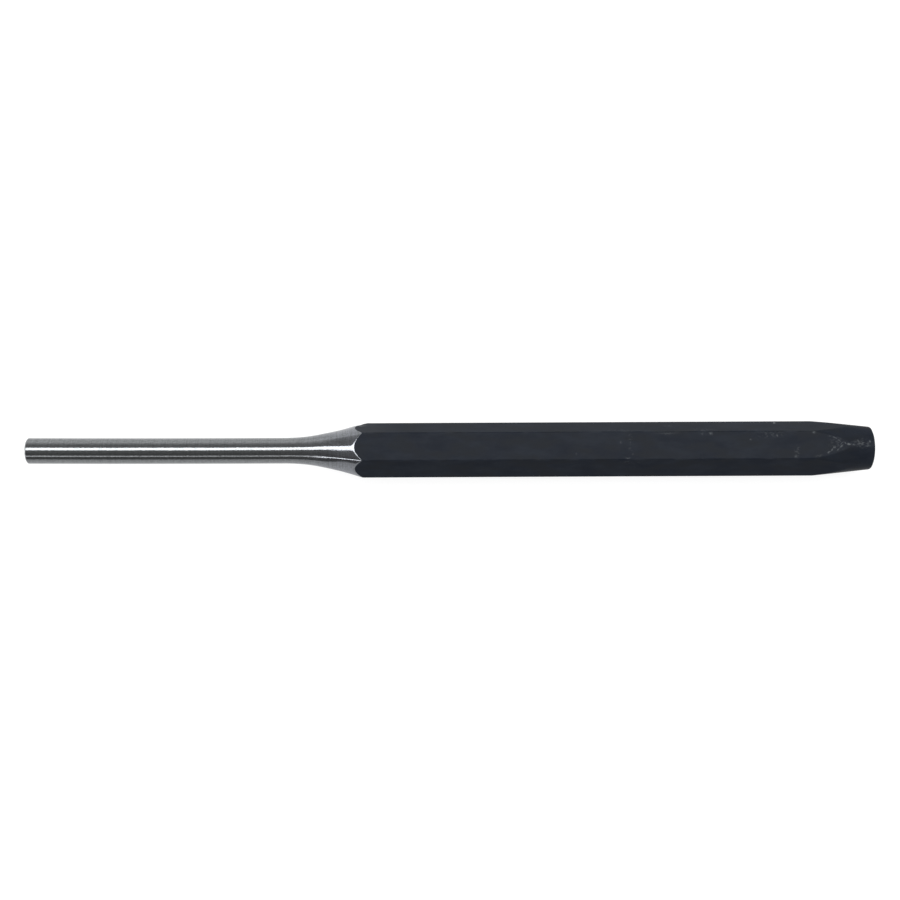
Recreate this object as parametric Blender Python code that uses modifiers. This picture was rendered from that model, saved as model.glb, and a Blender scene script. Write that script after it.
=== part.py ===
"""Pin punch: one bar of hexagon tool steel, ground to a round pin in front and tapered at the struck head.

The punch is one solid, made the way the real one is: a length of bar stock is turned at both ends. Each
turning is a round envelope that the bar is cut back to, so the flats run out into the flare and into the
head's taper in true curves.

Frame: the punch lies along X, as it rests on a flat of its body. The origin is the middle of the tip's face,
+X runs from the tip to the struck head, and +Z is up, square to the flat that it rests on.
"""

import math

import bpy

MM = 0.001

# The whole tool and its bar stock
LENGTH = 166.2 * MM
BODY_ACROSS_FLATS = 9.5 * MM
BODY_EDGE_RADIUS = 0.3 * MM

# The ground pin, from the tip's face to where the flare starts
PIN_DIAMETER = 5.1 * MM
PIN_STRAIGHT = 50.6 * MM
TIP_CHAMFER = 0.25 * MM

# The ground flare: a hollow arc that leaves the pin, then a cone that runs out over the flats
FLARE_RADIUS = 42.0 * MM
FLARE_ANGLE = math.radians(18.0)

# The struck head: a taper that ends in a flat face with a rounded rim
HEAD_DIAMETER = 8.4 * MM
HEAD_TAPER = math.radians(6.1)
HEAD_RIM_RADIUS = 0.4 * MM

# How far the bar and the envelopes reach past the finished punch
SAW_ALLOWANCE = 2.0 * MM
RUN_OUT = 0.5 * MM

# Facets
TURNED_SIDES = 96
FLARE_STEPS = 16
RIM_STEPS = 6
EDGE_STEPS = 4
# Surfaces that meet at less than this are one smooth surface.
SMOOTH_ANGLE = math.radians(20)

# Worked out from the sizes above
HEXAGON_SIDES = 6
PIN_RADIUS = PIN_DIAMETER / 2
CORNER_RADIUS = BODY_ACROSS_FLATS / 2 / math.cos(math.pi / HEXAGON_SIDES)
STOCK_START = -SAW_ALLOWANCE
STOCK_END = LENGTH + SAW_ALLOWANCE


def arc(centre, radius, start, end, steps):
    """Points (x, r) on an arc, from one angle to another, measured from +X towards the outside."""
    angles = [start + (end - start) * step / steps for step in range(steps + 1)]
    return [(centre[0] + radius * math.cos(a), centre[1] + radius * math.sin(a)) for a in angles]


def front_profile():
    """Outline (x, r) of the front turning: tip, pin, flare, and a clear run over the rest of the bar."""
    flare = arc(
        (PIN_STRAIGHT, PIN_RADIUS + FLARE_RADIUS),
        FLARE_RADIUS,
        -math.pi / 2,
        -math.pi / 2 + FLARE_ANGLE,
        FLARE_STEPS,
    )
    flare_end_x, flare_end_r = flare[-1]
    clear_r = max(CORNER_RADIUS, flare_end_r) + RUN_OUT
    clear_x = flare_end_x + (clear_r - flare_end_r) / math.tan(FLARE_ANGLE)
    tip = [(0.0, 0.0), (0.0, PIN_RADIUS - TIP_CHAMFER), (TIP_CHAMFER, PIN_RADIUS)]
    beyond_the_stock = STOCK_END + SAW_ALLOWANCE
    return tip + flare + [(clear_x, clear_r), (beyond_the_stock, clear_r), (beyond_the_stock, 0.0)]


def head_profile():
    """Outline (x, r) of the head turning: a clear run over the bar, the taper, the rounded rim, the face."""
    head_radius = HEAD_DIAMETER / 2
    clear_r = max(CORNER_RADIUS, head_radius) + RUN_OUT
    clear_x = LENGTH - (clear_r - head_radius) / math.tan(HEAD_TAPER)
    rim_centre = (
        LENGTH - HEAD_RIM_RADIUS,
        head_radius + HEAD_RIM_RADIUS * (math.tan(HEAD_TAPER) - 1 / math.cos(HEAD_TAPER)),
    )
    rim = arc(rim_centre, HEAD_RIM_RADIUS, math.pi / 2 - HEAD_TAPER, 0.0, RIM_STEPS)
    beyond_the_stock = STOCK_START - SAW_ALLOWANCE
    return [(beyond_the_stock, 0.0), (beyond_the_stock, clear_r), (clear_x, clear_r)] + rim + [(LENGTH, 0.0)]


def finish(name, colour, roughness, metallic):
    """A plain metal finish."""
    material = bpy.data.materials.new(name)
    material.use_nodes = True
    shader = material.node_tree.nodes["Principled BSDF"]
    shader.inputs["Base Color"].default_value = (*colour, 1.0)
    shader.inputs["Roughness"].default_value = roughness
    shader.inputs["Metallic"].default_value = metallic
    material.diffuse_color = (*colour, 1.0)
    return material


def collection(name):
    """A new collection in the scene."""
    made = bpy.data.collections.new(name)
    bpy.context.scene.collection.children.link(made)
    return made


def turned_envelope(name, profile, material, group):
    """A round solid about X, turned from its outline. It only cuts: it shows as wire and isn't rendered."""
    mesh = bpy.data.meshes.new(name)
    # Taken from its +X end, the outline turns into faces that look outwards. It starts half a facet round, so
    # that the middle of each flat, and each corner, meets the middle of a facet.
    lean = math.pi / TURNED_SIDES
    points = [(x, r * math.sin(lean), r * math.cos(lean)) for x, r in reversed(profile)]
    mesh.from_pydata(points, [(i, i + 1) for i in range(len(points) - 1)], [])
    mesh.materials.append(material)
    envelope = bpy.data.objects.new(name, mesh)
    group.objects.link(envelope)
    screw = envelope.modifiers.new("Turn", "SCREW")
    screw.axis = "X"
    screw.angle = math.tau
    screw.steps = TURNED_SIDES
    screw.render_steps = TURNED_SIDES
    screw.use_merge_vertices = True
    screw.merge_threshold = 0.00001
    envelope.hide_render = True
    envelope.display_type = "WIRE"
    return envelope


def hexagon_bar(name, material, group):
    """The bar stock along X, with two flats level and its long edges rounded."""
    bpy.ops.mesh.primitive_cylinder_add(
        vertices=HEXAGON_SIDES,
        radius=CORNER_RADIUS,
        depth=STOCK_END - STOCK_START,
        location=((STOCK_START + STOCK_END) / 2, 0.0, 0.0),
        rotation=(0.0, math.pi / 2, 0.0),
    )
    bar = bpy.context.object
    bpy.ops.object.transform_apply(location=True, rotation=True, scale=True)
    bar.name = bar.data.name = name
    bar.data.materials.append(material)
    for owner in list(bar.users_collection):
        owner.objects.unlink(bar)
    group.objects.link(bar)
    rounding = bar.modifiers.new("Rounded edges", "BEVEL")
    # On each flat, the rounding starts this far from the sharp corner.
    rounding.width = BODY_EDGE_RADIUS * math.tan(math.pi / HEXAGON_SIDES)
    rounding.segments = EDGE_STEPS
    return bar


def cut_back_to(bar, envelope):
    """Leave only what lies inside the envelope, with the envelope's finish on the cut faces."""
    turning = bar.modifiers.new(envelope.name, "BOOLEAN")
    turning.operation = "INTERSECT"
    turning.solver = "EXACT"
    turning.material_mode = "TRANSFER"
    turning.object = envelope


def keep_the_cut_shape(bar):
    """Make the rounding and the turning final, and shade the bar smooth up to its real edges."""
    depsgraph = bpy.context.evaluated_depsgraph_get()
    bar.data = bpy.data.meshes.new_from_object(bar.evaluated_get(depsgraph))
    bar.data.name = bar.name
    bar.modifiers.clear()
    bar.data.shade_smooth()
    bar.data.set_sharp_from_angle(angle=SMOOTH_ANGLE)


def main():
    for leftover in list(bpy.data.objects):
        bpy.data.objects.remove(leftover)
    black_oxide = finish("Black oxide", (0.022, 0.026, 0.034), 0.45, 0.3)
    ground_steel = finish("Ground steel", (0.46, 0.47, 0.48), 0.25, 1.0)
    parts = collection("Pin punch")
    cutters = collection("Turning envelopes")
    punch = hexagon_bar("pin_punch", black_oxide, parts)
    cut_back_to(punch, turned_envelope("Front turning", front_profile(), ground_steel, cutters))
    cut_back_to(punch, turned_envelope("Head turning", head_profile(), black_oxide, cutters))
    keep_the_cut_shape(punch)


main()
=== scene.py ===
"""Looks of the pin punch: its ground pin and flare, its black hexagon body, and the light that shows them.

The punch is one piece. It is modelled again here from the same sizes as its solid, as a fine mesh of rings
and columns: a hexagon bar with rounded edges is cut into columns round its girth and into rings along its
length, and each ring is drawn in to the outline that the bar was turned and ground to. Where a flat meets a
turned surface, the mesh keeps the small soft run-out that grinding and handling leave.

Frame: metres, X from the tip to the struck head, Z up, the punch lying on one of its flats.
"""

from __future__ import annotations

import logging
import math
from dataclasses import dataclass, field
from enum import Enum

import bpy
import numpy as np
from mathutils import Matrix, Vector

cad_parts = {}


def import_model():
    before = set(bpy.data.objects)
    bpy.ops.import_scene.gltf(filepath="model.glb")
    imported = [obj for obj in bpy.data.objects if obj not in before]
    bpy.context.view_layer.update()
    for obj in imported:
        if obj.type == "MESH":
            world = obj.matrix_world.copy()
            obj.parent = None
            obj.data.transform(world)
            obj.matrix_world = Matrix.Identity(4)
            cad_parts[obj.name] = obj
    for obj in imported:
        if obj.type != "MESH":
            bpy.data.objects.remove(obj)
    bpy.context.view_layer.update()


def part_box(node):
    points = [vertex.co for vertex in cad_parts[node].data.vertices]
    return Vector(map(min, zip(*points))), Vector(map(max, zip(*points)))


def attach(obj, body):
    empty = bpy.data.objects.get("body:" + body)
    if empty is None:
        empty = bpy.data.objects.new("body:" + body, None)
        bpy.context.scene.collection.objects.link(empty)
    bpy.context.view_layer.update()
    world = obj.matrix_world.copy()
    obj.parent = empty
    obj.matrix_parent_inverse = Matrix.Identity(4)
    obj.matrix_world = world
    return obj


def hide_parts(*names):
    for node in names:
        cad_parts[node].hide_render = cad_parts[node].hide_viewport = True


LOG = logging.getLogger("pin_punch")

MM = 0.001
SAME_PLACE = 1e-7
WHITE = (1.0, 1.0, 1.0, 1.0)
BLACK = (0.0, 0.0, 0.0, 1.0)

Point = tuple[float, float, float]
Colour = tuple[float, float, float]
Span = tuple[float, float]
Socket = bpy.types.NodeSocket
# What a node's input takes: a link, a number, or a place or colour
Value = Socket | float | tuple[float, ...]

HEXAGON_SIDES = 6
FLAT_TO_CORNER = math.pi / HEXAGON_SIDES


def select_nothing() -> None:
    """Leave no object selected and none active in edit mode."""
    if bpy.context.object and bpy.context.object.mode != "OBJECT":
        bpy.ops.object.mode_set(mode="OBJECT")
    bpy.ops.object.select_all(action="DESELECT")


def soft_minimum(first: np.ndarray, second: np.ndarray, width: np.ndarray | float) -> np.ndarray:
    """The smaller of two values, with a rounded change from one to the other.

    Args:
        first: One set of values.
        second: The other set.
        width: How near the two have to be for the rounding to start.

    Returns:
        The smaller of each pair, lowered by up to a quarter of width where they are equal.
    """
    closeness = np.clip(1.0 - np.abs(first - second) / width, 0.0, None)
    return np.minimum(first, second) - closeness**2 * width / 4


def smooth_rise(value: np.ndarray) -> np.ndarray:
    """A smooth step from 0 to 1, as the value goes from 0 to 1."""
    share = np.clip(value, 0.0, 1.0)
    return share * share * (3.0 - 2.0 * share)


@dataclass(frozen=True)
class PunchSizes:
    """The punch's sizes, in metres and radians."""

    length: float
    across_flats: float
    # As the solid has them
    edge_radius: float = 0.3 * MM
    pin_radius: float = 2.55 * MM
    pin_straight: float = 50.6 * MM
    tip_chamfer: float = 0.25 * MM
    flare_radius: float = 42.0 * MM
    flare_angle: float = math.radians(18.0)
    head_radius: float = 4.2 * MM
    head_taper: float = math.radians(6.1)
    head_rim: float = 0.4 * MM
    # As only the photo has them: a softened chamfer, a slightly bent pin, and a flare that is a little fuller
    # than a true arc, most at one place and over some way on each side of it
    tip_rounding: float = 0.06 * MM
    tip_bend: float = 0.19 * MM
    belly: float = 0.09 * MM
    belly_x: float = 60.2 * MM
    belly_reach: float = 5.5 * MM

    @property
    def corner_radius(self) -> float:
        """From the axis to a sharp corner of the hexagon."""
        return self.across_flats / 2 / math.cos(FLAT_TO_CORNER)

    @property
    def flare_arc_end(self) -> tuple[float, float]:
        """Where the flare's hollow arc becomes a cone, as (x, radius)."""
        x = self.pin_straight + self.flare_radius * math.sin(self.flare_angle)
        radius = self.pin_radius + self.flare_radius * (1 - math.cos(self.flare_angle))
        return x, radius

    def flare_reaches(self, radius: float) -> float:
        """How far along the punch the flare's cone has the given radius."""
        x, start = self.flare_arc_end
        return x + (radius - start) / math.tan(self.flare_angle)

    def head_reaches(self, radius: float) -> float:
        """How far along the punch the head's taper has the given radius."""
        return self.length - (radius - self.head_radius) / math.tan(self.head_taper)

    def top_height(self, x: float, y: float) -> float:
        """How high the upper side is behind the flare, on the hexagon or on the tapered head.

        Args:
            x: How far the place is from the tip.
            y: How far it is behind the middle line.

        Returns:
            Its height over the axis.
        """
        hexagon = min(self.across_flats / 2, (self.corner_radius - abs(y)) / math.tan(FLAT_TO_CORNER))
        taper = self.head_radius + (self.length - x) * math.tan(self.head_taper)
        return min(hexagon, math.sqrt(max(taper**2 - y**2, 0.0)))

    def front_outline(self, x: np.ndarray) -> np.ndarray:
        """Radius of the front turning: tip, pin, hollow flare and cone.

        Args:
            x: Places along the punch.

        Returns:
            The turned radius at each place.
        """
        into_arc = np.clip(x - self.pin_straight, 0.0, self.flare_arc_end[0] - self.pin_straight)
        arc = self.pin_radius + self.flare_radius - np.sqrt(self.flare_radius**2 - into_arc**2)
        cone = np.clip(x - self.flare_arc_end[0], 0.0, None) * math.tan(self.flare_angle)
        chamfer = self.pin_radius - self.tip_chamfer + x
        into_belly = np.clip(1.0 - ((x - self.belly_x) / self.belly_reach) ** 2, 0.0, None)
        return soft_minimum(arc + cone + self.belly * into_belly**2, chamfer, self.tip_rounding)

    def head_outline(self, x: np.ndarray) -> np.ndarray:
        """Radius of the head turning: taper and rounded rim.

        Args:
            x: Places along the punch.

        Returns:
            The turned radius at each place.
        """
        taper = self.head_radius + (self.length - x) * math.tan(self.head_taper)
        rim_x = self.length - self.head_rim
        rim_r = self.head_radius + self.head_rim * (
            math.tan(self.head_taper) - 1 / math.cos(self.head_taper)
        )
        into_rim = np.clip(x - rim_x, 0.0, self.head_rim)
        rim = rim_r + np.sqrt(self.head_rim**2 - into_rim**2)
        return np.where(x > rim_x + self.head_rim * math.sin(self.head_taper), rim, taper)


class RunOut(Enum):
    """How widely a turned surface rounds into the bar, in metres of radius."""

    FRONT_FLAT = 0.15 * MM
    FRONT_CORNER = 0.035 * MM
    HEAD = 0.04 * MM


@dataclass(frozen=True)
class Zone:
    """A stretch of the punch whose rings are evenly spaced.

    Attributes:
        end: Where the stretch ends, in metres from the tip.
        rings: How many rings it is cut into.
    """

    end: float
    rings: int


@dataclass
class PunchMesh:
    """The fine mesh of the punch, modelled from a hexagon bar."""

    sizes: PunchSizes
    flat_columns: int = 30
    edge_columns: int = 8
    rim_rings: int = 8
    face_rings: tuple[float, ...] = (0.3 * MM, 0.7 * MM)
    sharp_angle: float = math.radians(30)
    # Where the tip's stretch ends, and how far the finer stretches reach past what they are for
    tip_reach: float = 3.0 * MM
    flare_margin: float = 0.5 * MM
    scallop_margin: float = 1.4 * MM
    body_margin: float = 1.0 * MM
    arch_margin: float = 1.2 * MM
    head_margin: float = 1.4 * MM
    # The front grinding took the oxide off a little further than it cut. The bare steel ends this far from
    # the tip at the middle of a flat, and further back at the corners, along a steeper cone than the flare's.
    bare_from: float = 64.75 * MM
    bare_slope: float = 0.46
    # Edges turned by less than this count as left alone
    left_alone: float = 0.02 * MM
    # How fast the wide run-out at the middle of a flat narrows towards its corners
    run_out_power: int = 12
    # Towards the flare's end, the grinding bit this much deeper over the flats than at the corners, and a
    # little deeper all along the back
    flat_bite: float = 0.19 * MM
    flat_bite_power: float = 1.3
    back_bite: float = 0.04 * MM
    back_rise: float = 1.0 * MM
    bite_from: float = 58.0 * MM
    bite_to: float = 63.0 * MM
    # Where the flare ends, the back corner is rubbed down, from this far behind the middle line on
    rub: float = 0.19 * MM
    rub_x: float = 65.85 * MM
    rub_reach: float = 1.35 * MM
    rub_from: float = 4.4 * MM
    rub_to: float = 5.2 * MM
    name: str = "pin_punch_body"

    def zones(self) -> list[Zone]:
        """The stretches between the tip and the head's rim, finest where a turned surface meets the flats."""
        s = self.sizes
        flare_start = s.pin_straight - self.flare_margin
        scallops = s.flare_reaches(s.across_flats / 2) - self.scallop_margin
        body = s.flare_reaches(s.corner_radius) + self.body_margin
        arches = s.head_reaches(s.corner_radius) - self.arch_margin
        head = s.head_reaches(s.across_flats / 2) + self.head_margin
        return [
            Zone(s.tip_chamfer * 2, rings=12),
            Zone(self.tip_reach, rings=4),
            Zone(flare_start, rings=46),
            Zone(scallops, rings=36),
            Zone(body, rings=92),
            Zone(arches, rings=58),
            Zone(head, rings=74),
            Zone(s.length - s.head_rim, rings=8),
        ]

    def build(self) -> bpy.types.Object:
        """Model the punch.

        Returns:
            The finished mesh object, at the origin, with its place in its mesh.
        """
        punch = self._bar()
        self._cut_columns(punch)
        self._cut_rings(punch)
        self._turn(punch)
        self._close_ends(punch)
        self._note_surface(punch)
        return punch

    def _bar(self) -> bpy.types.Object:
        """The hexagon bar with rounded long edges and open ends, lying along X."""
        s = self.sizes
        select_nothing()
        bpy.ops.mesh.primitive_cylinder_add(
            vertices=HEXAGON_SIDES,
            radius=s.corner_radius,
            depth=s.length,
            end_fill_type="NOTHING",
            location=(s.length / 2, 0.0, 0.0),
            rotation=(0.0, math.pi / 2, 0.0),
        )
        bar = bpy.context.object
        bar.name = bar.data.name = self.name
        bpy.ops.object.transform_apply(location=True, rotation=True, scale=True)
        self._pick_edges(bar, along=True)
        bpy.ops.mesh.bevel(
            offset=s.edge_radius * math.tan(FLAT_TO_CORNER),
            offset_type="OFFSET",
            segments=self.edge_columns,
            affect="EDGES",
        )
        bpy.ops.object.mode_set(mode="OBJECT")
        return bar

    def _pick_edges(self, bar: bpy.types.Object, along: bool, low: float = -1.0, high: float = 1.0) -> None:
        """Select edges by their direction and place, and leave the bar in edit mode.

        Args:
            bar: The mesh object.
            along: True for edges along the bar, False for those across it.
            low: The least x that an edge's middle may have.
            high: The greatest x that it may have.
        """
        places = self._edge_ends(bar)
        reach = places[:, 1] - places[:, 0]
        middle = places[:, :, 0].mean(axis=1)
        lengthwise = np.abs(reach[:, 0]) > np.hypot(reach[:, 1], reach[:, 2])
        wide = np.hypot(reach[:, 1], reach[:, 2]) > self.sizes.edge_radius
        wanted = lengthwise if along else wide & ~lengthwise
        wanted &= (middle > low) & (middle < high)
        bar.data.edges.foreach_set("select", wanted)
        bpy.ops.object.mode_set(mode="EDIT")

    @staticmethod
    def _edge_ends(bar: bpy.types.Object) -> np.ndarray:
        """Deselect every edge, and give the places of its two ends."""
        bpy.context.view_layer.objects.active = bar
        bpy.ops.object.mode_set(mode="EDIT")
        bpy.ops.mesh.select_mode(type="EDGE")
        bpy.ops.mesh.select_all(action="DESELECT")
        bpy.ops.object.mode_set(mode="OBJECT")
        ends = np.empty(len(bar.data.edges) * 2, dtype=np.int32)
        bar.data.edges.foreach_get("vertices", ends)
        return vertex_places(bar.data)[ends.reshape(-1, 2)]

    def _cut_columns(self, bar: bpy.types.Object) -> None:
        """Divide each flat lengthwise into columns."""
        self._pick_edges(bar, along=False)
        bpy.ops.mesh.subdivide(number_cuts=self.flat_columns - 1)
        bpy.ops.object.mode_set(mode="OBJECT")

    def _cut_rings(self, bar: bpy.types.Object) -> None:
        """Divide the bar into rings: first where its stretches meet, then within each stretch."""
        s = self.sizes
        zones = self.zones()
        rim_angles = np.linspace(s.head_taper, math.pi / 2, self.rim_rings, endpoint=False)
        rim_places = s.length - s.head_rim + s.head_rim * np.sin(rim_angles)
        bpy.ops.object.mode_set(mode="EDIT")
        for x in [zone.end for zone in zones] + rim_places.tolist():
            bpy.ops.mesh.select_all(action="SELECT")
            bpy.ops.mesh.bisect(plane_co=(x, 0.0, 0.0), plane_no=(1.0, 0.0, 0.0))
        bpy.ops.object.mode_set(mode="OBJECT")
        start = 0.0
        for zone in zones:
            self._pick_edges(bar, along=True, low=start, high=zone.end)
            bpy.ops.mesh.subdivide(number_cuts=zone.rings - 1)
            bpy.ops.object.mode_set(mode="OBJECT")
            start = zone.end

    def _turn(self, bar: bpy.types.Object) -> None:
        """Draw each ring in to the turned outlines, with soft run-outs, and note the bare metal."""
        s = self.sizes
        places = vertex_places(bar.data)
        x = places[:, 0]
        stock = np.hypot(places[:, 1], places[:, 2])
        to_corner = (stock - s.across_flats / 2) / (s.corner_radius - s.across_flats / 2)
        ground = s.front_outline(x) - self._bite(places, to_corner)
        turned = soft_minimum(stock, ground, self._run_out(to_corner))
        turned = soft_minimum(turned, s.head_outline(x), RunOut.HEAD.value)
        turned -= self._rubbed(places)
        near_rim = x > s.length - 2 * s.head_rim
        turned = np.where(near_rim, s.head_outline(x), turned)
        on_pin = x < s.pin_straight
        turned = np.where(on_pin, s.front_outline(x), turned)
        bare_edge = self.bare_from + (stock - s.across_flats / 2) / self.bare_slope
        self._keep(bar, "bare", (bare_edge - x) / MM)
        self._keep(bar, "corner", np.where(turned > stock - self.left_alone, to_corner, 0.0))
        places[:, 1:] *= (turned / stock)[:, None]
        places[:, 1] += s.tip_bend * np.clip(1.0 - x / s.pin_straight, 0.0, None) ** 2
        bar.data.vertices.foreach_set("co", places.ravel())
        bar.data.update()

    def _run_out(self, to_corner: np.ndarray) -> np.ndarray:
        """How widely the front turning rounds into the bar.

        Args:
            to_corner: How far each place is on the way from the middle of a flat, 0, to a sharp corner, 1.

        Returns:
            The width of the rounding, as a difference in radius.
        """
        corner, flat = RunOut.FRONT_CORNER.value, RunOut.FRONT_FLAT.value
        return corner + np.clip(1.0 - to_corner, 0.0, 1.0) ** self.run_out_power * (flat - corner)

    def _bite(self, places: np.ndarray, to_corner: np.ndarray) -> np.ndarray:
        """How much deeper than the turned outline the front is ground.

        Args:
            places: The places on the bar.
            to_corner: How far each is on the way from the middle of a flat, 0, to a sharp corner, 1.

        Returns:
            The depth at each place.
        """
        bite = self.flat_bite * np.clip(1.0 - to_corner, 0.0, 1.0) ** self.flat_bite_power
        bite += self.back_bite * smooth_rise(places[:, 1] / self.back_rise)
        return bite * smooth_rise((places[:, 0] - self.bite_from) / (self.bite_to - self.bite_from))

    def _rubbed(self, places: np.ndarray) -> np.ndarray:
        """How far the back corner is rubbed down at each place."""
        into_rub = np.clip(1.0 - ((places[:, 0] - self.rub_x) / self.rub_reach) ** 2, 0.0, None)
        on_corner = smooth_rise((places[:, 1] - self.rub_from) / (self.rub_to - self.rub_from))
        return self.rub * into_rub**2 * on_corner

    @staticmethod
    def _keep(bar: bpy.types.Object, name: str, values: np.ndarray) -> None:
        """Store one number per vertex as a named attribute."""
        attribute = bar.data.attributes.new(name, "FLOAT", "POINT")
        attribute.data.foreach_set("value", values.astype(np.float32))

    def _close_ends(self, bar: bpy.types.Object) -> None:
        """Close the tip and the struck end with flat faces in rings."""
        for x in (0.0, self.sizes.length):
            at_end = np.abs(self._edge_ends(bar)[:, :, 0] - x) < SAME_PLACE
            bar.data.edges.foreach_set("select", at_end.all(axis=1))
            bpy.ops.object.mode_set(mode="EDIT")
            bpy.ops.mesh.edge_face_add()
            bpy.ops.mesh.select_mode(type="FACE")
            for ring in self.face_rings:
                bpy.ops.mesh.inset(thickness=ring, depth=0.0)
            bpy.ops.mesh.poke()
            bpy.ops.object.mode_set(mode="OBJECT")

    def _note_surface(self, bar: bpy.types.Object) -> None:
        """Point the faces outwards, shade them smooth, and unroll a map with U along the punch."""
        bpy.ops.object.mode_set(mode="EDIT")
        bpy.ops.mesh.select_all(action="SELECT")
        bpy.ops.mesh.normals_make_consistent(inside=False)
        bpy.ops.object.mode_set(mode="OBJECT")
        bpy.ops.object.select_all(action="DESELECT")
        bar.select_set(True)
        bpy.ops.object.shade_smooth_by_angle(angle=self.sharp_angle)
        mesh = bar.data
        while mesh.uv_layers:
            mesh.uv_layers.remove(mesh.uv_layers[0])
        layer = mesh.uv_layers.new(name="girth")
        corners = np.empty(len(mesh.loops), dtype=np.int32)
        mesh.loops.foreach_get("vertex_index", corners)
        places = vertex_places(mesh)[corners]
        turn = np.arctan2(places[:, 1], places[:, 2]) / math.tau + 0.5
        layer.uv.foreach_set("vector", np.column_stack([places[:, 0] / self.sizes.length, turn]).ravel())


def vertex_places(mesh: bpy.types.Mesh) -> np.ndarray:
    """Every vertex's place, as rows of x, y, z."""
    places = np.empty(len(mesh.vertices) * 3)
    mesh.vertices.foreach_get("co", places)
    return places.reshape(-1, 3)


@dataclass(frozen=True)
class Grain:
    """A noise texture's size and layers.

    Attributes:
        size: The size of its features along x, y and z, in millimetres.
        detail: How many finer layers it has.
        rough: How strong the finer layers are.
    """

    size: Point
    detail: float = 2.0
    rough: float = 0.5


class NodeSheet:
    """A material's or world's node tree, with short calls for the nodes used here."""

    def __init__(self, tree: bpy.types.NodeTree) -> None:
        """Start on a node tree."""
        self.tree = tree

    def node(self, kind: str, **settings: object) -> bpy.types.Node:
        """Add a node.

        Args:
            kind: The node's type, without the ShaderNode prefix.
            **settings: Values for the node's own properties.

        Returns:
            The new node.
        """
        made = self.tree.nodes.new("ShaderNode" + kind)
        for name, value in settings.items():
            setattr(made, name, value)
        return made

    def feed(self, socket: Socket, value: Value) -> None:
        """Link a socket to an input, or set the input's own value."""
        if isinstance(value, bpy.types.NodeSocket):
            self.tree.links.new(value, socket)
        else:
            socket.default_value = value

    def calc(self, operation: str, *values: Value, clamp: bool = False) -> Socket:
        """A Math node.

        Args:
            operation: The node's operation.
            *values: Its inputs, as sockets or numbers.
            clamp: Whether the result is kept between 0 and 1.

        Returns:
            The node's result.
        """
        made = self.node("Math", operation=operation, use_clamp=clamp)
        for socket, value in zip(made.inputs, values):
            self.feed(socket, value)
        return made.outputs[0]

    def times(self, first: Value, second: Value) -> Socket:
        """One number times another."""
        return self.calc("MULTIPLY", first, second)

    def plus(self, first: Value, second: Value) -> Socket:
        """One number plus another."""
        return self.calc("ADD", first, second)

    def scaled(self, number: Value, factor: Value, added: Value) -> Socket:
        """A number times a factor, with another number added."""
        return self.calc("MULTIPLY_ADD", number, factor, added)

    def larger(self, first: Value, second: Value) -> Socket:
        """The larger of two numbers."""
        return self.calc("MAXIMUM", first, second)

    def parts(self, place: Value) -> bpy.types.NodeOutputs:
        """The X, Y and Z of a place or a direction."""
        made = self.node("SeparateXYZ")
        self.feed(made.inputs[0], place)
        return made.outputs

    def mix(self, share: Value, low: Value, high: Value) -> Socket:
        """Mix two numbers."""
        made = self.node("Mix", data_type="FLOAT")
        self.feed(made.inputs[0], share)
        self.feed(made.inputs[2], low)
        self.feed(made.inputs[3], high)
        return made.outputs[0]

    def blend(self, share: Value, low: Value, high: Value) -> Socket:
        """Mix two colours."""
        made = self.node("Mix", data_type="RGBA")
        self.feed(made.inputs[0], share)
        self.feed(made.inputs[6], rgba(low))
        self.feed(made.inputs[7], rgba(high))
        return made.outputs[2]

    def ramp(self, value: Value, low: float, high: float) -> Socket:
        """A smooth rise from 0 where the value is low to 1 where it is high."""
        made = self.node("MapRange", interpolation_type="SMOOTHSTEP")
        self.feed(made.inputs["Value"], value)
        made.inputs["From Min"].default_value = low
        made.inputs["From Max"].default_value = high
        return made.outputs[0]

    def noise(self, place: Value, grain: Grain) -> Socket:
        """Noise between about 0 and 1.

        Args:
            place: The place, in millimetres.
            grain: The noise's size and layers.

        Returns:
            The noise's value.
        """
        stretch = self.node("VectorMath", operation="DIVIDE")
        self.feed(stretch.inputs[0], place)
        self.feed(stretch.inputs[1], grain.size)
        made = self.node("TexNoise")
        self.feed(made.inputs["Vector"], stretch.outputs[0])
        made.inputs["Scale"].default_value = 1.0
        made.inputs["Detail"].default_value = grain.detail
        made.inputs["Roughness"].default_value = grain.rough
        return made.outputs["Fac"]


def rgba(colour: Value) -> Value:
    """A colour with its alpha, or a socket as it is."""
    return (*colour, 1.0) if isinstance(colour, tuple) else colour


@dataclass(frozen=True)
class GroundSteel:
    """Bright steel, ground round its girth. Heights are in millimetres."""

    colour: Colour = (0.43, 0.447, 0.458)
    dull_colour: Colour = (0.275, 0.288, 0.296)
    # A faint blue cast over the flare's steel
    flare_colour: Colour = (0.42, 0.435, 0.482)
    roughness: float = 0.12
    roughness_change: float = 0.03
    rings: Grain = Grain((0.22, 30.0, 30.0), 3.0, 0.7)
    ring_height: float = 0.0008
    streaks: Grain = Grain((0.9, 0.18, 0.18), 4.0, 0.7)
    # The rings' share in what makes the steel duller, the streaks having the rest
    ring_share: float = 0.4
    dull_span: Span = (0.38, 0.66)
    waves: Grain = Grain((6.0, 2.2, 2.2), 1.0)
    wave_height: float = 0.004
    pits: Grain = Grain((0.4, 0.16, 0.16))
    pit_height: float = 0.0055


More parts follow.
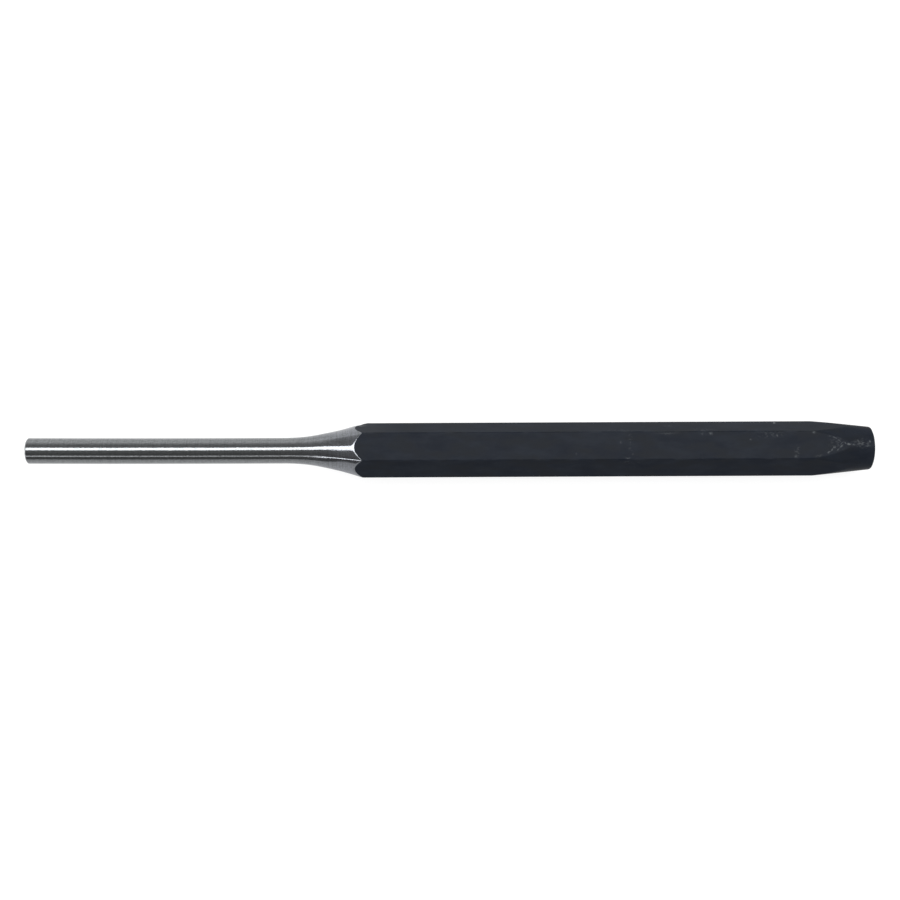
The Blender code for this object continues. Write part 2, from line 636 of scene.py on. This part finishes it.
@dataclass(frozen=True)
class BlackOxide:
    """A thin satin black finish, blue with browner patches. Heights are in millimetres."""

    colour: Colour = (0.0138, 0.0175, 0.0262)
    pale_colour: Colour = (0.0209, 0.0256, 0.035)
    brown_colour: Colour = (0.0181, 0.0212, 0.0272)
    roughness: float = 0.34
    roughness_change: float = 0.06
    mottle: Grain = Grain((6.0, 2.6, 2.6), 4.0, 0.6)
    pale_span: Span = (0.3, 0.7)
    patches: Grain = Grain((5.2, 2.2, 2.2), 3.0)
    brown_span: Span = (0.42, 0.68)
    grain: Grain = Grain((0.5, 0.35, 0.35), 3.0)
    grain_height: float = 0.002
    # The rings that facing left on the struck end
    facing: Grain = Grain((0.3, 30.0, 30.0))
    facing_height: float = 0.03
    # The line where the oxide ends on the ground steel, in millimetres
    end_noise: Grain = Grain((0.7, 0.7, 0.7), 3.0)
    end_raggedness: float = 0.3
    end_softness: float = 0.05


@dataclass(frozen=True)
class Wear:
    """How the oxide is rubbed and knocked through. Places and depths are in millimetres."""

    colour: Colour = (0.13, 0.14, 0.15)
    depth: float = 0.02
    # How far and how finely a mark's outline is shaken, and between which strengths the finish goes
    shake: float = 0.7
    shake_scale: float = 2.2
    mark_span: Span = (0.04, 0.6)
    specks: Grain = Grain((0.6, 0.38, 0.4))
    speck_span: Span = (0.46, 0.72)
    # The long edges, from their shoulders to their crests
    edge: float = 0.1
    edge_span: Span = (0.8, 0.95)
    edge_rubs: Grain = Grain((3.0, 0.8, 0.8), 3.0)
    edge_rub_span: Span = (0.45, 0.7)
    # The sides that the photo doesn't show, from these heights down
    hidden: float = 0.45
    hidden_span: Span = (-0.6, -1.6)
    patches: Grain = Grain((7.0, 1.6, 1.6))
    patch_span: Span = (0.56, 0.76)
    # The struck end's rim and face, each between distances before the end
    rim: float = 0.3
    rim_rise: Span = (0.45, 0.2)
    rim_fall: Span = (0.02, 0.06)
    face: float = 0.32
    face_rise: Span = (0.02, 0.005)
    struck_rubs: Grain = Grain((1.5, 1.5, 1.5), 3.0)
    struck_rub_span: Span = (0.3, 0.7)
    # The least share of the face's wear, where it is rubbed least
    face_least: float = 0.3


@dataclass(frozen=True)
class Mark:
    """A place on the upper side where the black finish is knocked or scuffed through.

    Attributes:
        x: How far it is from the tip, in millimetres.
        y: How far it is behind the middle line, in millimetres.
        length: Its length, in millimetres.
        width: Its width, in millimetres.
        strength: How much of the finish is gone at its middle, from 0 to 1.
        lean: How far its length is turned from the punch's, in degrees.
    """

    x: float
    y: float
    length: float
    width: float
    strength: float
    lean: float = 0.0


# Small knocks, from the body's middle to the head
KNOCKS = (
    Mark(107.9, -1.6, 0.8, 0.7, 0.2),
    Mark(116.6, 0.65, 0.9, 1.0, 0.24),
    Mark(118.8, -1.65, 0.8, 1.3, 0.2),
    Mark(117.8, -2.45, 1.8, 0.6, 0.34),
    Mark(125.6, 2.35, 7.5, 0.55, 0.24),
    Mark(132.4, 2.3, 1.2, 0.9, 0.26),
    Mark(134.1, 2.35, 1.3, 1.0, 0.42),
    Mark(141.8, 1.05, 0.8, 0.7, 0.34),
    Mark(145.7, 2.4, 1.5, 1.0, 0.2),
    Mark(146.9, 1.85, 0.8, 0.8, 0.36),
    Mark(147.4, 5.0, 0.8, 0.6, 1.0),
    Mark(150.45, -2.3, 1.1, 1.1, 0.34),
    Mark(154.1, 2.4, 1.3, 0.9, 0.4),
)
# Fine bright rubs on the head, along the arch that its taper cuts in the top flat and on to the struck end
HEAD_RUBS = (
    Mark(154.9, -2.15, 3.4, 0.6, 0.22, 8.0),
    Mark(156.9, -1.45, 1.4, 0.6, 0.46, 22.0),
    Mark(157.5, -1.0, 0.9, 0.7, 0.46, 40.0),
    Mark(158.0, -0.5, 1.5, 0.45, 0.4, 52.0),
    Mark(158.7, -0.95, 1.1, 0.5, 0.46, 40.0),
    Mark(159.4, -0.3, 1.6, 0.5, 0.5, 48.0),
    Mark(159.5, 0.3, 1.5, 0.4, 0.4, 42.0),
    Mark(160.2, 0.3, 1.2, 0.5, 0.46, -15.0),
    Mark(160.9, 0.12, 1.2, 0.6, 0.58, -8.0),
    Mark(161.8, -0.05, 1.2, 0.45, 0.38),
    Mark(157.2, 1.68, 1.4, 0.4, 0.26),
    Mark(158.1, 1.4, 1.3, 0.5, 0.44, -25.0),
    Mark(158.9, 0.85, 1.3, 0.45, 0.42, -32.0),
    Mark(157.6, 0.3, 1.3, 0.4, 0.24, 35.0),
    Mark(162.7, 0.8, 0.9, 0.45, 0.4, -40.0),
    Mark(162.85, 0.22, 0.9, 0.5, 0.44),
    Mark(163.7, 0.33, 1.1, 0.5, 0.44),
    Mark(164.5, -0.2, 1.4, 0.5, 0.38),
    Mark(165.1, 0.6, 0.9, 0.9, 0.5),
)
# Wider scuffs, where the finish is only rubbed through in places
SCUFFS = (
    Mark(116.5, 3.1, 9.0, 1.2, 0.25),
    Mark(118.4, 0.6, 1.2, 5.0, 0.26),
    Mark(118.4, -3.2, 4.6, 0.7, 0.3),
    Mark(127.0, 4.3, 5.0, 1.4, 0.3),
    Mark(133.0, 3.2, 7.0, 2.2, 0.45),
    Mark(145.5, 2.2, 7.0, 2.2, 0.34),
    Mark(150.7, -1.2, 1.6, 4.0, 0.36),
    Mark(158.6, 0.3, 4.4, 3.2, 0.3),
    Mark(163.6, 0.3, 5.4, 2.4, 0.56),
)


@dataclass
class PunchFinish:
    """The one material of the punch: ground steel in front, and black oxide with its wear behind."""

    sizes: PunchSizes
    steel: GroundSteel = field(default_factory=GroundSteel)
    oxide: BlackOxide = field(default_factory=BlackOxide)
    wear: Wear = field(default_factory=Wear)
    ior: float = 1.5
    specular: float = 0.05
    anisotropy: float = 0.7
    name: str = "ground_and_blackened_steel"
    # The material's nodes, and the place on the punch in millimetres
    sheet: NodeSheet = field(init=False)
    place: Socket = field(init=False)

    def build(self) -> bpy.types.Material:
        """Make the material.

        Returns:
            The finished material.
        """
        material = bpy.data.materials.new(self.name)
        material.use_nodes = True
        sheet = self.sheet = NodeSheet(material.node_tree)
        shader = material.node_tree.nodes["Principled BSDF"]
        shader.inputs["IOR"].default_value = self.ior
        shader.inputs["Specular IOR Level"].default_value = self.specular
        shader.inputs["Anisotropic"].default_value = self.anisotropy
        tangent = sheet.node("Tangent", direction_type="UV_MAP", uv_map="girth")
        sheet.feed(shader.inputs["Tangent"], tangent.outputs[0])
        self.place = self._in_millimetres()
        bare = self._bare()
        steel_colour, steel_rough, steel_height = self._steel()
        oxide_colour, oxide_rough, oxide_height = self._oxide()
        sheet.feed(shader.inputs["Base Color"], sheet.blend(bare, oxide_colour, steel_colour))
        sheet.feed(shader.inputs["Roughness"], sheet.mix(bare, oxide_rough, steel_rough))
        sheet.feed(shader.inputs["Metallic"], bare)
        bump = sheet.node("Bump")
        bump.inputs["Strength"].default_value = 1.0
        bump.inputs["Distance"].default_value = MM
        sheet.feed(bump.inputs["Height"], sheet.mix(bare, oxide_height, steel_height))
        sheet.feed(shader.inputs["Normal"], bump.outputs[0])
        return material

    def _in_millimetres(self) -> Socket:
        """The place on the punch, in millimetres."""
        scaled = self.sheet.node("VectorMath", operation="SCALE")
        self.sheet.feed(scaled.inputs[0], self.sheet.node("TexCoord").outputs["Object"])
        scaled.inputs["Scale"].default_value = 1 / MM
        return scaled.outputs[0]

    def _noise(self, grain: Grain) -> Socket:
        """Noise at the place on the punch."""
        return self.sheet.noise(self.place, grain)

    def _patchy(self, grain: Grain, span: Span) -> Socket:
        """Noise spread so that it rises from 0 to 1 over a span of its values."""
        return self.sheet.ramp(self._noise(grain), *span)

    def _turned_noise(self, grain: Grain) -> Socket:
        """Noise at X less the distance from the axis, so that rings also run round both end faces."""
        sheet = self.sheet
        parts = sheet.parts(self.place)
        square = sheet.times(parts["Y"], parts["Y"])
        square = sheet.scaled(parts["Z"], parts["Z"], square)
        joined = sheet.node("CombineXYZ")
        sheet.feed(joined.inputs["X"], sheet.calc("SUBTRACT", parts["X"], sheet.calc("SQRT", square)))
        sheet.feed(joined.inputs["Y"], parts["Y"])
        sheet.feed(joined.inputs["Z"], parts["Z"])
        return sheet.noise(joined.outputs[0], grain)

    def _before_end(self, span: Span) -> Socket:
        """A rise from 0 to 1 between two distances before the struck end, in millimetres."""
        end = self.sizes.length / MM
        return self.sheet.ramp(self.sheet.parts(self.place)["X"], end - span[0], end - span[1])

    def _bare(self) -> Socket:
        """1 on the bare ground steel and 0 on the oxide, with the slightly ragged line between them."""
        sheet, oxide = self.sheet, self.oxide
        past = sheet.node("Attribute", attribute_name="bare").outputs["Fac"]
        ragged = sheet.scaled(self._noise(oxide.end_noise), oxide.end_raggedness, -oxide.end_raggedness / 2)
        return sheet.ramp(sheet.plus(past, ragged), -oxide.end_softness, oxide.end_softness)

    def _steel(self) -> tuple[Socket, Socket, Socket]:
        """The ground steel.

        Returns:
            Its colour, roughness and height in millimetres.
        """
        sheet, steel = self.sheet, self.steel
        rings = self._turned_noise(steel.rings)
        streaks = sheet.times(self._noise(steel.streaks), 1.0 - steel.ring_share)
        dulled = sheet.ramp(sheet.scaled(rings, steel.ring_share, streaks), *steel.dull_span)
        x = sheet.parts(self.place)["X"]
        on_flare = sheet.ramp(x, self.sizes.pin_straight / MM, self.sizes.flare_arc_end[0] / MM)
        colour = sheet.blend(on_flare, steel.colour, steel.flare_colour)
        colour = sheet.blend(dulled, colour, steel.dull_colour)
        rough = sheet.scaled(rings, steel.roughness_change, steel.roughness)
        waves = sheet.times(self._noise(steel.waves), steel.wave_height)
        pits = sheet.times(self._noise(steel.pits), steel.pit_height)
        lines = sheet.times(rings, steel.ring_height)
        return colour, rough, sheet.plus(sheet.plus(waves, pits), lines)

    def _oxide(self) -> tuple[Socket, Socket, Socket]:
        """The black oxide and its wear.

        Returns:
            Its colour, roughness and height in millimetres.
        """
        sheet, oxide = self.sheet, self.oxide
        mottle = self._noise(oxide.mottle)
        colour = sheet.blend(sheet.ramp(mottle, *oxide.pale_span), oxide.colour, oxide.pale_colour)
        colour = sheet.blend(self._patchy(oxide.patches, oxide.brown_span), colour, oxide.brown_colour)
        worn = self._worn()
        colour = sheet.blend(worn, colour, self.wear.colour)
        rough = sheet.scaled(mottle, oxide.roughness_change, oxide.roughness)
        grain = sheet.times(self._noise(oxide.grain), oxide.grain_height)
        rings = sheet.times(self._turned_noise(oxide.facing), self._before_end(self.wear.face_rise))
        height = sheet.plus(grain, sheet.times(rings, oxide.facing_height))
        return colour, rough, sheet.scaled(worn, -self.wear.depth, height)

    def _worn(self) -> Socket:
        """How much of the oxide is gone: knocks, scuffs, rubbed edges and plain wear.

        Returns:
            0 where the finish is whole and 1 where it is gone.
        """
        sheet, wear = self.sheet, self.wear
        ragged = self._shaken()
        knocks = sheet.ramp(self._marks(ragged, KNOCKS + HEAD_RUBS), *wear.mark_span)
        specks = self._patchy(wear.specks, wear.speck_span)
        scuffs = sheet.times(self._marks(ragged, SCUFFS), specks)
        corner = sheet.node("Attribute", attribute_name="corner").outputs["Fac"]
        rubbed = self._patchy(wear.edge_rubs, wear.edge_rub_span)
        edges = sheet.times(sheet.times(sheet.ramp(corner, *wear.edge_span), rubbed), wear.edge)
        shown = sheet.larger(sheet.larger(knocks, scuffs), edges)
        return sheet.calc("MAXIMUM", shown, self._plain_wear(specks), clamp=True)

    def _shaken(self) -> Socket:
        """The place, moved about a little so that a mark's outline comes out ragged."""
        sheet = self.sheet
        noise = sheet.node("TexNoise")
        sheet.feed(noise.inputs["Vector"], self.place)
        noise.inputs["Scale"].default_value = self.wear.shake_scale
        moved = sheet.node("VectorMath", operation="MULTIPLY_ADD")
        sheet.feed(moved.inputs[0], noise.outputs["Color"])
        moved.inputs[1].default_value = (self.wear.shake,) * 3
        sheet.feed(moved.inputs[2], self.place)
        centred = sheet.node("VectorMath", operation="SUBTRACT")
        sheet.feed(centred.inputs[0], moved.outputs[0])
        centred.inputs[1].default_value = (self.wear.shake / 2,) * 3
        return centred.outputs[0]

    def _plain_wear(self, specks: Socket) -> Socket:
        """Sparse scuffs on the sides that the photo doesn't show, and light wear on the struck end.

        Args:
            specks: A scatter of specks, from 0 to 1.

        Returns:
            How strong the wear is, from 0 to 1.
        """
        sheet, wear = self.sheet, self.wear
        under = sheet.ramp(sheet.parts(self.place)["Z"], *wear.hidden_span)
        below = sheet.times(sheet.times(under, self._patchy(wear.patches, wear.patch_span)), specks)
        rubbed = self._patchy(wear.struck_rubs, wear.struck_rub_span)
        on_rim = sheet.times(self._before_end(wear.rim_rise), self._before_end(wear.rim_fall))
        rim = sheet.times(sheet.times(on_rim, rubbed), wear.rim)
        share = sheet.scaled(rubbed, 1.0 - wear.face_least, wear.face_least)
        face = sheet.times(sheet.times(self._before_end(wear.face_rise), share), wear.face)
        return sheet.larger(sheet.times(below, wear.hidden), sheet.larger(rim, face))

    def _marks(self, place: Socket, marks: tuple[Mark, ...]) -> Value:
        """How strongly any of a set of marks shows.

        Args:
            place: The place in millimetres.
            marks: The marks.

        Returns:
            The strongest of them, from 0 to 1.
        """
        sheet = self.sheet
        strongest: Value = 0.0
        for mark in marks:
            height = self.sizes.top_height(mark.x * MM, mark.y * MM) / MM
            spot = sheet.node("Mapping", vector_type="TEXTURE")
            sheet.feed(spot.inputs["Vector"], place)
            spot.inputs["Location"].default_value = (mark.x, mark.y, height)
            spot.inputs["Rotation"].default_value = (0.0, 0.0, math.radians(mark.lean))
            spot.inputs["Scale"].default_value = (mark.length / 2, mark.width / 2, 1.0)
            fade = sheet.node("TexGradient", gradient_type="SPHERICAL")
            sheet.feed(fade.inputs["Vector"], spot.outputs[0])
            strongest = sheet.larger(strongest, sheet.times(fade.outputs["Fac"], mark.strength))
        return strongest


@dataclass
class PinPunch:
    """The punch as a dressed piece that stands for its solid."""

    sizes: PunchSizes
    node: str = "pin_punch"
    slot: str = "tool_steel"

    def build(self) -> bpy.types.Object:
        """Model and dress the punch, and tie it to the frame.

        Returns:
            The finished piece.
        """
        punch = PunchMesh(self.sizes).build()
        punch.data.materials.append(PunchFinish(self.sizes).build())
        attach(punch, "root")
        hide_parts(self.node)
        return punch


@dataclass(frozen=True)
class LampStretch:
    """A long lamp, or a stretch of one.

    Attributes:
        start: Where it starts along the punch, in metres.
        end: Where it ends.
        seen: Its angle from the camera's direction in degrees, positive towards the back.
        width: Its width.
        glow: Its brightness where white paper in full light is 1.
    """

    start: float
    end: float
    seen: float
    width: float
    glow: float


@dataclass(frozen=True)
class Table:
    """The pale floor as the punch mirrors it: brightest beside the punch, and dim far past its ends."""

    drop: float = 0.1 * MM
    glow: float = 0.42
    # The glow near the punch is this reach over the distance from its middle line, blurred close by
    near_reach: float = 2.2 * MM
    near_blur: float = 1.7 * MM
    # Behind the pin it is stronger, and behind the body there is none
    behind_gain: float = 1.3
    behind_glow: float = 0.13
    side_blend: float = 5.0 * MM
    body_blend: float = 10.0 * MM
    far_span: Span = (0.3, 1.0)
    far_share: float = 0.3


@dataclass(frozen=True)
class Room:
    """The room's brightness. Each span is of one part of a direction, X, Y or Z."""

    # As the punch mirrors it: from front to back, within the front, and from high to low behind
    back_span: Span = (-0.3, 0.3)
    front_span: Span = (-0.62, -0.1)
    front_tones: Span = (0.105, 0.17)
    low_span: Span = (0.74, 0.14)
    back_tones: Span = (0.205, 0.675)
    # Past both ends of the punch
    end_span: Span = (0.72, 0.98)
    end_share: float = 0.3
    # As matt surfaces catch it, how much brighter it is behind, and as the camera sees it
    slant: float = 0.5
    backdrop: float = 1.3


@dataclass
class Studio:
    """The pale floor, the soft light and the camera of the photograph."""

    sizes: PunchSizes
    picture_pixels: int = 900
    pixel: float = 0.1975 * MM
    camera_distance: float = 274.5 * MM
    camera_elevation: float = math.radians(81.6)
    camera_roll: float = -0.0046
    middle_x: float = 83.38 * MM
    middle_drop: float = 0.01 * MM
    sensor: float = 36.0
    clip: Span = (0.01, 10.0)
    floor_size: float = 4.0
    floor_gap: float = 0.03 * MM
    floor_tone: float = 0.4
    floor_glow: float = 0.8
    matt: float = 0.9
    table: Table = field(default_factory=Table)
    room: Room = field(default_factory=Room)
    strip_distance: float = 0.5
    strip: LampStretch = LampStretch(-0.55, 0.75, 17.8, 0.178, 2.8)
    low_bar_distance: float = 1.5
    low_bar: tuple[LampStretch, ...] = (
        LampStretch(-2.6, -0.94, -49.2, 0.3, 1.3),
        LampStretch(-0.94, -0.86, -49.2, 0.3, 3.8),
        LampStretch(-0.86, -0.77, -49.2, 0.3, 5.4),
        LampStretch(-0.77, -0.72, -49.2, 0.3, 1.6),
        LampStretch(-0.72, -0.62, -47.7, 0.22, 0.95),
        LampStretch(-0.62, -0.46, -47.7, 0.22, 0.85),
        LampStretch(-0.46, 1.6, -47.7, 0.22, 0.66),
    )

    def build(self) -> None:
        """Set up everything round the punch."""
        self._view()
        self._floor()
        self._table()
        self._world()
        self._lamps()
        self._camera()

    @property
    def floor_height(self) -> float:
        """Where the floor lies: under the flat that the punch rests on."""
        return -self.sizes.across_flats / 2

    @staticmethod
    def _view() -> None:
        """Show tones as they are, with no film curve."""
        view = bpy.context.scene.view_settings
        view.view_transform = "Standard"
        view.look = "None"

    def _floor(self) -> None:
        """The plain pale floor that the camera sees."""
        floor, sheet, shader = self._plane("floor", self.floor_height - self.floor_gap)
        shader.inputs["Base Color"].default_value = rgba((self.floor_tone,) * 3)
        shader.inputs["Emission Strength"].default_value = self.floor_glow
        floor.visible_diffuse = floor.visible_glossy = False
        self._clear_from_below(sheet, shader)

    def _table(self) -> None:
        """The same floor as the punch mirrors it."""
        look = self.table
        table, sheet, shader = self._plane("table", self.floor_height - look.drop)
        table.visible_camera = table.visible_shadow = False
        shader.inputs["Base Color"].default_value = BLACK
        across = sheet.parts(sheet.node("TexCoord").outputs["Object"])
        away = sheet.calc("ABSOLUTE", across["Y"])
        near = sheet.calc("DIVIDE", look.near_reach, sheet.plus(away, look.near_blur))
        behind = sheet.ramp(across["Y"], -look.side_blend, look.side_blend)
        body = self.sizes.flare_arc_end[0] - self.middle_x
        beside_body = sheet.ramp(across["X"], body, body + look.body_blend)
        behind_pin = sheet.scaled(near, look.behind_gain, look.behind_glow)
        near = sheet.mix(behind, near, sheet.mix(beside_body, behind_pin, 0.0))
        far = sheet.ramp(sheet.calc("ABSOLUTE", across["X"]), *look.far_span)
        bright = sheet.times(sheet.plus(near, look.glow), sheet.mix(far, 1.0, look.far_share))
        sheet.feed(shader.inputs["Emission Strength"], bright)

    @staticmethod
    def _clear_from_below(sheet: NodeSheet, shader: bpy.types.Node) -> None:
        """Let a view from beneath look through the floor, at the punch's underside."""
        output = sheet.tree.nodes["Material Output"]
        side = sheet.node("MixShader")
        sheet.feed(side.inputs[0], sheet.node("NewGeometry").outputs["Backfacing"])
        sheet.feed(side.inputs[1], shader.outputs[0])
        sheet.feed(side.inputs[2], sheet.node("BsdfTransparent").outputs[0])
        sheet.feed(output.inputs["Surface"], side.outputs[0])

    def _plane(self, name: str, height: float) -> tuple[bpy.types.Object, NodeSheet, bpy.types.Node]:
        """A large level plane with a matt material that can glow white.

        Args:
            name: Its name.
            height: How high it lies.

        Returns:
            The plane, its material's nodes and its shader.
        """
        select_nothing()
        bpy.ops.mesh.primitive_plane_add(size=self.floor_size, location=(self.middle_x, 0.0, height))
        plane = bpy.context.object
        plane.name = name
        material = bpy.data.materials.new(name)
        material.use_nodes = True
        shader = material.node_tree.nodes["Principled BSDF"]
        shader.inputs["Roughness"].default_value = self.matt
        shader.inputs["Specular IOR Level"].default_value = 0.0
        shader.inputs["Emission Color"].default_value = WHITE
        plane.data.materials.append(material)
        return plane, NodeSheet(material.node_tree), shader

    def _world(self) -> None:
        """Soft white light, stronger from the back, which the punch mirrors as a dim room."""
        room = self.room
        world = bpy.data.worlds.new("studio")
        bpy.context.scene.world = world
        world.use_nodes = True
        sheet = NodeSheet(world.node_tree)
        background = world.node_tree.nodes["Background"]
        way = sheet.parts(sheet.node("TexCoord").outputs["Generated"])
        back = sheet.ramp(way["Y"], *room.back_span)
        low = sheet.ramp(way["Z"], *room.low_span)
        front = sheet.mix(sheet.ramp(way["Y"], *room.front_span), *room.front_tones)
        mirrored = sheet.mix(back, front, sheet.mix(low, *room.back_tones))
        endways = sheet.ramp(sheet.calc("ABSOLUTE", way["X"]), *room.end_span)
        mirrored = sheet.times(mirrored, sheet.mix(endways, 1.0, room.end_share))
        light = sheet.scaled(way["Y"], room.slant, 1.0)
        path = sheet.node("LightPath")
        light = sheet.mix(path.outputs["Is Glossy Ray"], light, mirrored)
        seen = sheet.mix(path.outputs["Is Camera Ray"], light, room.backdrop)
        sheet.feed(background.inputs["Strength"], seen)
        background.inputs["Color"].default_value = WHITE

    def _lamp(self, name: str, distance: float, part: LampStretch) -> None:
        """Add an area light over the punch, facing it, that only shows in what mirrors it.

        Args:
            name: The light's name.
            distance: How far it is from the punch.
            part: Its place, width and glow.
        """
        length = part.end - part.start
        data = bpy.data.lights.new(name, "AREA")
        data.shape = "RECTANGLE"
        data.size, data.size_y = length, part.width
        data.energy = part.glow * math.pi * length * part.width
        lamp = bpy.data.objects.new(name, data)
        bpy.context.scene.collection.objects.link(lamp)
        angle = math.radians(part.seen) - (math.pi / 2 - self.camera_elevation)
        middle = (part.start + part.end) / 2
        lamp.location = (middle, distance * math.sin(angle), distance * math.cos(angle))
        lamp.rotation_euler = (-angle, 0.0, 0.0)
        lamp.visible_camera = lamp.visible_diffuse = False

    def _lamps(self) -> None:
        """The long soft box that draws the white line, and the low bar in front that draws the thin one."""
        self._lamp("strip_light", self.strip_distance, self.strip)
        for part in self.low_bar:
            self._lamp("low_bar", self.low_bar_distance, part)

    def _camera(self) -> None:
        """The camera of the photograph, looking down on the punch and a little from the front."""
        data = bpy.data.cameras.new("camera")
        data.sensor_width = self.sensor
        data.lens = self.sensor * self.camera_distance / (self.picture_pixels * self.pixel)
        data.clip_start, data.clip_end = self.clip
        camera = bpy.data.objects.new("camera", data)
        bpy.context.scene.collection.objects.link(camera)
        away = Vector((0.0, -math.cos(self.camera_elevation), math.sin(self.camera_elevation)))
        image_up = Vector((0.0, math.sin(self.camera_elevation), math.cos(self.camera_elevation)))
        target = Vector((self.middle_x, 0.0, 0.0)) - image_up * self.middle_drop
        turn = away.to_track_quat("Z", "Y").to_matrix().to_4x4()
        camera.matrix_world = (
            Matrix.Translation(target + away * self.camera_distance)
            @ turn
            @ Matrix.Rotation(self.camera_roll, 4, "Z")
        )
        bpy.context.scene.camera = camera


def main() -> None:
    """Load the frame, read the punch's sizes from it, build the punch and its studio, and log the punch's
    face count.
    """
    logging.basicConfig(level=logging.INFO, format="%(name)s: %(message)s")
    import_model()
    low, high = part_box("pin_punch")
    sizes = PunchSizes(length=high[0] - low[0], across_flats=high[2] - low[2])
    punch = PinPunch(sizes).build()
    LOG.info("%s has %d faces", punch.name, len(punch.data.polygons))
    Studio(sizes).build()


if __name__ == "__main__":
    main()
